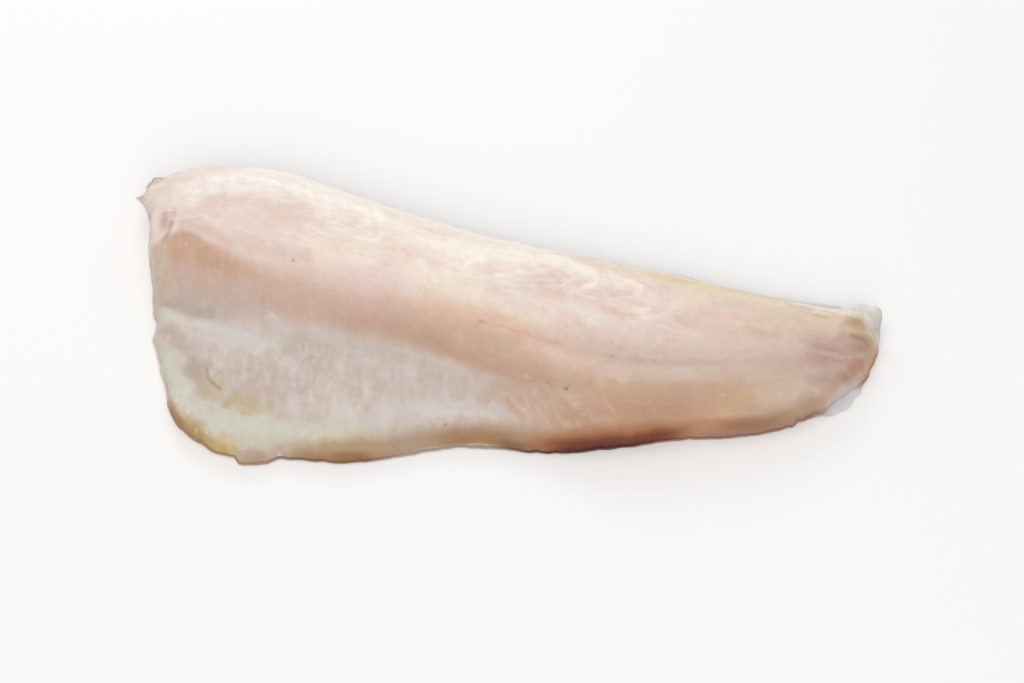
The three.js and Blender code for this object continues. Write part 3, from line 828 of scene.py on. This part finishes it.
def paintHead(plan):
    y = plan.y
    wander = plan.wander
    dab(plan, headDabs)
    headFace = fade(0.8, 3.0, plan.toHead + 0.5 * wander)
    cover(plan, "headPink", 0.7 * headFace * ramp(12, 28, y + 3 * wander) * fade(38, 44, y))
    # painted shade along the top edge of the head
    topEdge = fade(1.6, 4.4, plan.toBack + 0.4 * wander)
    cover(plan, "headRimShade", 0.85 * topEdge * fade(-108, -100, plan.x))
    cover(plan, "headFold", 0.95 * plan.headFold)


def paintMarks(plan):
    brush(plan, loinStrokes)
    # the pale flecks on the head loin and the cream marks along the lower left rim are painted glints
    for name, strength, markX, markY, size in fleshMarks:
        away = np.hypot(plan.x - markX, plan.y - markY) + 0.15 * plan.wander
        cover(plan, name, strength * fade(0.3 * size, 1.1 * size, away))
    strew(plan, "flecks", ("fleck",), 0.5)


def fleshPaint(piece, plan):
    x = plan.x
    y = plan.y
    above = plan.aboveSpine
    belly = plan.bellyField
    band = plan.bandField
    drift = ramp(-0.6, 0.6, softNoise(x, y, 14, 31) + 0.5 * softNoise(x, y, 5, 32))
    plan.colour = blended(np.array(fleshTones["loinRose"], float), fleshTones["loinCream"], drift)
    for layer in (paintLoin, paintBand, paintBelly, paintRim, paintTail, paintHead, paintMarks):
        layer(plan)
    paintTone(piece, "fleshTone", plan.colour)
    # masks and grain that the material reads
    paint(piece, "pale", ramp(140, 190, plan.colour.mean(1)))
    muscle = (1 - belly) * (1 - band) * (1 - 0.75 * ramp(30, 75, x)) * (0.15 + 0.85 * ramp(1, 11, above))
    paint(piece, "muscle", muscle * ramp(1, 7, plan.toBelly) * (0.35 + 0.65 * ramp(2, 9, plan.toBack)))
    upright = np.maximum(0.5 * belly * fade(-10, 14, x), 0.75 * band * (1 - 0.75 * ramp(-85, -60, x)))
    paint(piece, "upright", upright * ramp(2, 7, plan.toBelly))
    paint(piece, "wet", 0.04 + 0.3 * ramp(2, 10, plan.toBelly) * ramp(-0.8, 0.6, softNoise(x, y, 10, 71)))
    across = np.where(above > 0, 26 * plan.loinShare, above)
    across += 0.1 * x + 1.6 * softNoise(x, y, 17, 61) + 0.5 * softNoise(x, y, 6, 62)
    store(piece, "grain", "FLOAT_VECTOR", "vector", np.stack([x, across, np.zeros(len(x))], 1))


def makeFlesh():
    piece = copyOfNode("flesh", "filletFlesh")
    creaseRim(piece, 1.0, raggedSpots)
    rounded(piece, 2)
    subdivideTop(piece, 0.02)
    roughenOutline(piece)
    places = readPoints(piece)[0]
    x, y = planPlace(places)
    # the flesh laps over the strip of skin and curls up over the nub
    places[:, 1] -= fleshForm["tailLap"] * np.exp(-((x - 106) / 4) ** 2 - ((y + 36) / 4) ** 2)
    curl = np.exp(-((x - 117.5) / 4.5) ** 2 - ((y + 1.5) / 4.5) ** 2)
    places += np.outer(curl, fleshForm["nubCurl"])
    movePoints(piece, places)
    plan = planOf(piece)
    fleshRelief(piece, plan)
    fleshPaint(piece, plan)
    print("flesh shaped:", len(piece.data.polygons), "faces")
    return piece


# finish of the flesh; streaks are stretch, where they start and are full, tone and strength
# sizes of noise are repeats a metre, or a millimetre along the grain
fleshLook = {
    "feathers": ((0.1, 0.95, 1.0), 0.5, 0.66, (255, 250, 242), 0.34),
    "rosy": ((0.06, 0.6, 3.0), 0.46, 0.64, (228, 200, 184), 0.2),
    "ribs": ((620.0, 110.0, 1.0), 0.42, 0.66, (236, 224, 216), 0.14),
    "mottleSize": 260.0, "mottleStrength": 0.1,
    "darkMottle": (196, 158, 138), "lightMottle": (246, 240, 232),
    "grainSize": 650.0, "grainStrength": 0.05, "grainTone": (150, 100, 76),
    "drawnSize": 0.9, "drawnStrength": 0.1, "drawnStretch": (0.3, 1.0, 1.0),
    "sheenSize": 120.0, "roughness": (0.34, 0.54),
    "shader": {"Specular IOR Level": 0.3, "Coat Roughness": 0.34, "Subsurface Weight": 0.18,
               "Subsurface Radius": (0.0026, 0.0012, 0.0007), "Subsurface Scale": 1.0},
    "lineBump": (0.00025, 0.4), "fibreBump": (0.0003, 0.5), "fineBump": (0.00012, 0.5),
}


def fleshMaterial():
    look = fleshLook
    material, tree, shader = newMaterial("wetFlesh")
    place = objectPlace(tree)
    grain = painted(tree, "grain", "Vector")
    muscle = painted(tree, "muscle")
    upright = painted(tree, "upright")
    pale = painted(tree, "pale")
    colour = painted(tree, "fleshTone", "Color")
    # streaks along the muscle, faint upright lines over the ribs and the belly wall
    colour, fibre = streaked(tree, colour, grain, muscle, look["feathers"])
    colour = streaked(tree, colour, grain, muscle, look["rosy"])[0]
    colour, lineHeight = streaked(tree, colour, place, upright, look["ribs"])
    # small uneven spots of tone everywhere
    mottle = noiseAt(tree, place, look["mottleSize"], 3.0, 0.6)
    dark = spread(tree, mottle, 0.5, 0.72, 0.0, look["mottleStrength"])
    colour = mixTone(tree, colour, look["darkMottle"], times(tree, dark, pale))
    light = spread(tree, mottle, 0.5, 0.28, 0.0, look["mottleStrength"])
    colour = mixTone(tree, colour, look["lightMottle"], times(tree, light, pale))
    fine = noiseAt(tree, place, look["grainSize"], 4.0, 0.6)
    speckle = spread(tree, fine, 0.5, 0.75, 0.0, look["grainStrength"])
    colour = mixTone(tree, colour, look["grainTone"], speckle)
    drawn = noiseAt(tree, stretched(tree, grain, look["drawnStretch"]), look["drawnSize"], 4.0, 0.6)
    fibres = spread(tree, drawn, 0.48, 0.72, 0.0, look["drawnStrength"])
    colour = mixTone(tree, colour, look["grainTone"], fibres)
    tree.links.new(colour, shader.inputs["Base Color"])
    # wet sheen, patchy
    sheen = noiseAt(tree, place, look["sheenSize"])
    tree.links.new(spread(tree, sheen, 0.35, 0.7, *look["roughness"]), shader.inputs["Roughness"])
    tree.links.new(painted(tree, "wet"), shader.inputs["Coat Weight"])
    for name, value in look["shader"].items():
        shader.inputs[name].default_value = value
    # relief finer than the mesh
    lines = raised(tree, times(tree, lineHeight, upright), *look["lineBump"])
    lines = raised(tree, times(tree, fibre, muscle), *look["fibreBump"], lines)
    tree.links.new(raised(tree, fine, *look["fineBump"], lines), shader.inputs["Normal"])
    return material


flesh = makeFlesh()
flesh.data.materials.append(fleshMaterial())
workOn(flesh)
bpy.ops.object.shade_smooth()
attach(flesh, "root")
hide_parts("flesh")
print("flesh finished")

# skin: scaled outside, pale inside where it shows past the flesh
skinForm = {
    "nub": (122, -3.6), "nubSize": (6, 7.5), "nubBulge": 1.4,
    "filmAt": 109, "filmLength": 7, "filmWidth": 1.6, "filmReach": 1.2,
    "sides": [(0.0, "belly"), (0.2, "belly"), (0.36, "side"), (0.47, "stripe"), (0.56, "side"),
              (0.74, "back"), (1.0, "back")],
    "rims": [(-120, "rimPale"), (-108, "rimBrown"), (-80, "rimBrown"), (-66, "rimDusk"),
             (-44, "rimDusk"), (-34, "rimPale"), (-2, "rimPale"), (8, "rimRed"), (40, "rimRed"),
             (54, "rimPink"), (100, "rimPink"), (110, "inner"), (130, "inner")],
}
skinTones = {
    "back": (104, 92, 88), "side": (158, 148, 152), "stripe": (156, 116, 116), "belly": (196, 188, 188),
    "spot": (44, 36, 34), "fleck": (214, 212, 212), "scaleEdge": (40, 34, 32), "milky": (196, 184, 178),
    "inner": (222, 221, 225), "nub": (228, 226, 220), "nubShade": (198, 193, 186),
    "cut": (184, 142, 126), "rimPale": (172, 156, 144), "rimBrown": (176, 144, 120),
    "rimDusk": (136, 108, 90), "rimRed": (96, 66, 58), "rimPink": (168, 136, 124),
    "head": (246, 228, 218),
}


def toneAlong(stops, value):
    # blends named tones along a list of stops
    places = [place for place, name in stops]
    levels = np.array([skinTones[name] for place, name in stops], float)
    return np.stack([np.interp(value, places, levels[:, band]) for band in range(3)], 1)


def makeSkin():
    piece = copyOfNode("skin", "filletSkin")
    creaseRim(piece, 0.6, raggedSpots)
    rounded(piece, 2)
    roughenOutline(piece)
    places, normals = readPoints(piece)
    x, y = planPlace(places)
    facing = normals[:, 2]
    low = edgeOf(x, y, 90, False)
    high = edgeOf(x, y, 90, True)
    inner = ramp(-0.15, 0.35, facing)
    nubX, nubY = skinForm["nub"]
    nub = blob(x, y, skinForm["nub"], skinForm["nubSize"], 0, 0.1)
    puff = 1 + 0.7 * softNoise(x, y, 2.8, 23) + 0.4 * softNoise(x, y, 1.4, 25)
    places = places + normals * (skinForm["nubBulge"] * puff * nub * inner)[:, None]
    # a film stands out behind the back edge beside the nub
    filmX = (x - skinForm["filmAt"]) / skinForm["filmLength"]
    film = np.exp(-filmX ** 2 - ((y - high) / skinForm["filmWidth"]) ** 2)
    places[:, 1] += skinForm["filmReach"] * film
    movePoints(piece, places)
    # outer face, from the belly to the back
    share = np.clip((y - low) / np.maximum(high - low, 4) + 0.04 * softNoise(x, y, 9, 21), 0, 1)
    rim = fade(0.8, 2.4, fromSide(x, y, False))
    colour = toneAlong(skinForm["sides"], share)
    # the rim tones darken along parts of the lower edge, partly the skin's own colour and partly painted
    # shade
    colour = blended(colour, toneAlong(skinForm["rims"], x + 2 * softNoise(x, y, 5, 22)), rim)
    headEdge = fade(1.2, 4.0, fromHead(x, y)) * ramp(-36, -28, y)
    headEdge = np.maximum(headEdge, fade(-112, -104, x) * fade(1.2, 3.4, high - y))
    headEdge = np.maximum(headEdge, blob(x, y, (-122, 47), (9, 9)))
    colour = blended(colour, skinTones["head"], headEdge)
    # pale inner face, nub and film, and the cut below the tail
    insideTone = blended(np.array(skinTones["inner"], float), skinTones["nub"], nub)
    shade = ramp(-4, 9, (x - nubX) - (y - nubY) + 1.5 * softNoise(x, y, 3, 24)) * nub
    insideTone = blended(insideTone, skinTones["nubShade"], shade)
    pale = np.maximum(np.maximum(inner * (1 - rim * fade(100, 110, x)), nub), film)
    colour = blended(colour, insideTone, pale)
    sliver = ramp(112, 117, x) * ramp(-29, -25, y) * fade(-14, -9, y) * ramp(-0.8, -0.3, facing)
    colour = blended(colour, skinTones["cut"], sliver)
    paintTone(piece, "skinTone", colour)
    paint(piece, "backShare", share)
    bare = np.maximum(inner, np.maximum(nub, film))
    paint(piece, "outside", (1 - bare) * (1 - np.maximum(0.8 * rim, headEdge)))
    print("skin shaped:", len(piece.data.polygons), "faces")
    return piece


# finish of the skin; a spot size is its repeats a metre, the dot's edge and how crowded it starts
skinLook = {
    "spotSizes": [(340.0, 0.3, 0.72), (600.0, 0.34, 0.6), (1000.0, 0.4, 0.62)],
    "spotStrength": 0.85, "crowding": 0.7, "wobbleSize": 420.0, "wobble": 0.0014,
    "cloudSize": 160.0, "cloudStrength": 0.5, "milkySize": 300.0, "milkyStrength": 0.12,
    "scaleSize": 760.0, "scaleStretch": (1.0, 1.35, 1.0), "scaleUneven": 0.35, "scaleStrength": 0.3,
    "sheenSize": 240.0, "roughness": (0.36, 0.56), "specular": 0.35,
    "scaleBump": (0.00015, 0.7), "milkyBump": (0.0003, 0.3),
}


def wobbled(tree, place):
    # shifts a place a little, so that dots aren't round
    scaled = tree.nodes.new("ShaderNodeVectorMath")
    scaled.operation = "SCALE"
    bent = noiseAt(tree, place, skinLook["wobbleSize"], 2.0, 0.5, 0.0, "Color")
    tree.links.new(bent, scaled.inputs[0])
    scaled.inputs["Scale"].default_value = skinLook["wobble"]
    shifted = tree.nodes.new("ShaderNodeVectorMath")
    tree.links.new(place, shifted.inputs[0])
    tree.links.new(scaled.outputs["Vector"], shifted.inputs[1])
    return shifted.outputs["Vector"]


def skinMaterial():
    look = skinLook
    material, tree, shader = newMaterial("troutSkin")
    place = objectPlace(tree)
    share = painted(tree, "backShare")
    outside = painted(tree, "outside")
    colour = painted(tree, "skinTone", "Color")
    # pale cloudy flecks, then dark spots that crowd towards the back
    cloud = noiseAt(tree, place, look["cloudSize"], 5.0, 0.65)
    cloud = spread(tree, cloud, 0.52, 0.72, 0.0, look["cloudStrength"])
    colour = mixTone(tree, colour, skinTones["fleck"], times(tree, cloud, outside))
    spotPlace = wobbled(tree, place)
    for size, edge, least in look["spotSizes"]:
        cells = cellsAt(tree, spotPlace, size)
        dot = spread(tree, cells["Distance"], edge - 0.12, edge + 0.06, 1.0, 0.0)
        chance = tree.nodes.new("ShaderNodeSeparateColor")
        tree.links.new(cells["Color"], chance.inputs["Color"])
        crowd = math2(tree, "ADD", chance.outputs["Red"], times(tree, share, look["crowding"]))
        keep = times(tree, spread(tree, crowd, least, least + 0.2), outside)
        spotShare = times(tree, dot, times(tree, keep, look["spotStrength"]))
        colour = mixTone(tree, colour, skinTones["spot"], spotShare)
    # scales
    scalePlace = stretched(tree, place, look["scaleStretch"])
    scales = cellsAt(tree, scalePlace, look["scaleSize"], look["scaleUneven"])
    scaleEdge = times(tree, spread(tree, scales["Distance"], 0.35, 0.75), outside)
    colour = mixTone(tree, colour, skinTones["scaleEdge"], times(tree, scaleEdge, look["scaleStrength"]))
    # milky unevenness of the inner face
    milky = spread(tree, noiseAt(tree, place, look["milkySize"]), 0.3, 0.7)
    colour = mixTone(tree, colour, skinTones["milky"], times(tree, milky, look["milkyStrength"]))
    tree.links.new(colour, shader.inputs["Base Color"])
    sheen = noiseAt(tree, place, look["sheenSize"])
    tree.links.new(spread(tree, sheen, 0.3, 0.7, *look["roughness"]), shader.inputs["Roughness"])
    shader.inputs["Specular IOR Level"].default_value = look["specular"]
    scaleBump = raised(tree, scaleEdge, *look["scaleBump"])
    tree.links.new(raised(tree, milky, *look["milkyBump"], scaleBump), shader.inputs["Normal"])
    return material


skin = makeSkin()
skin.data.materials.append(skinMaterial())
workOn(skin)
bpy.ops.object.shade_smooth()
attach(skin, "root")
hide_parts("skin")
print("skin finished")

# floor, lights and camera; lights are name, place, size and power
stageForm = {
    "floorSize": 8.0, "floorTone": (252, 252, 251), "floorRoughness": 0.8, "floorDrop": 0.0001,
    "lights": [("keyLight", (-0.3, 0.3, 1.1), 1.0, 3.2), ("fillLight", (0.2, -0.9, 0.75), 1.2, 4.0),
               ("glossLight", (-0.2, 1.0, 0.5), 0.4, 2.4)],
    "skyTone": (1.0, 0.985, 0.97), "skyStrength": 0.58,
    "lens": 75.0, "elevation": 60.0, "aim": (3.38, -9.48, 0.0), "distance": 711.1,
}


def makeFloor():
    bpy.ops.object.select_all(action="DESELECT")
    bpy.ops.mesh.primitive_plane_add(size=stageForm["floorSize"], location=(0, 0, -stageForm["floorDrop"]))
    floor = bpy.context.object
    floor.name = "floor"
    bpy.ops.object.transform_apply(location=True)
    material, _, shader = newMaterial("paleFloor")
    shader.inputs["Base Color"].default_value = tone(*stageForm["floorTone"])
    shader.inputs["Roughness"].default_value = stageForm["floorRoughness"]
    floor.data.materials.append(material)


def makeLight(name, place, size, power):
    bpy.ops.object.light_add(type="AREA", location=place)
    light = bpy.context.object
    light.name = name
    light.data.shape = "DISK"
    light.data.size = size
    light.data.energy = power
    light.rotation_euler = light.location.to_track_quat("Z", "Y").to_euler()


def makeSky():
    sky = bpy.data.worlds.new("softSky")
    sky.use_nodes = True
    sky.node_tree.nodes["Background"].inputs["Color"].default_value = (*stageForm["skyTone"], 1.0)
    sky.node_tree.nodes["Background"].inputs["Strength"].default_value = stageForm["skyStrength"]
    bpy.context.scene.world = sky
    bpy.context.scene.view_settings.view_transform = "Standard"


def makeCamera():
    tilt = math.radians(stageForm["elevation"])
    aim = [value * mm for value in stageForm["aim"]]
    away = stageForm["distance"] * mm
    bpy.ops.object.camera_add(
        location=(aim[0], aim[1] - away * math.cos(tilt), aim[2] + away * math.sin(tilt)),
        rotation=(math.pi / 2 - tilt, 0, 0))
    camera = bpy.context.object
    camera.data.lens = stageForm["lens"]
    camera.data.sensor_width = 36.0
    camera.data.clip_start = 0.01
    bpy.context.scene.camera = camera


makeFloor()
for light in stageForm["lights"]:
    makeLight(*light)
makeCamera()
makeSky()
print("stage set")
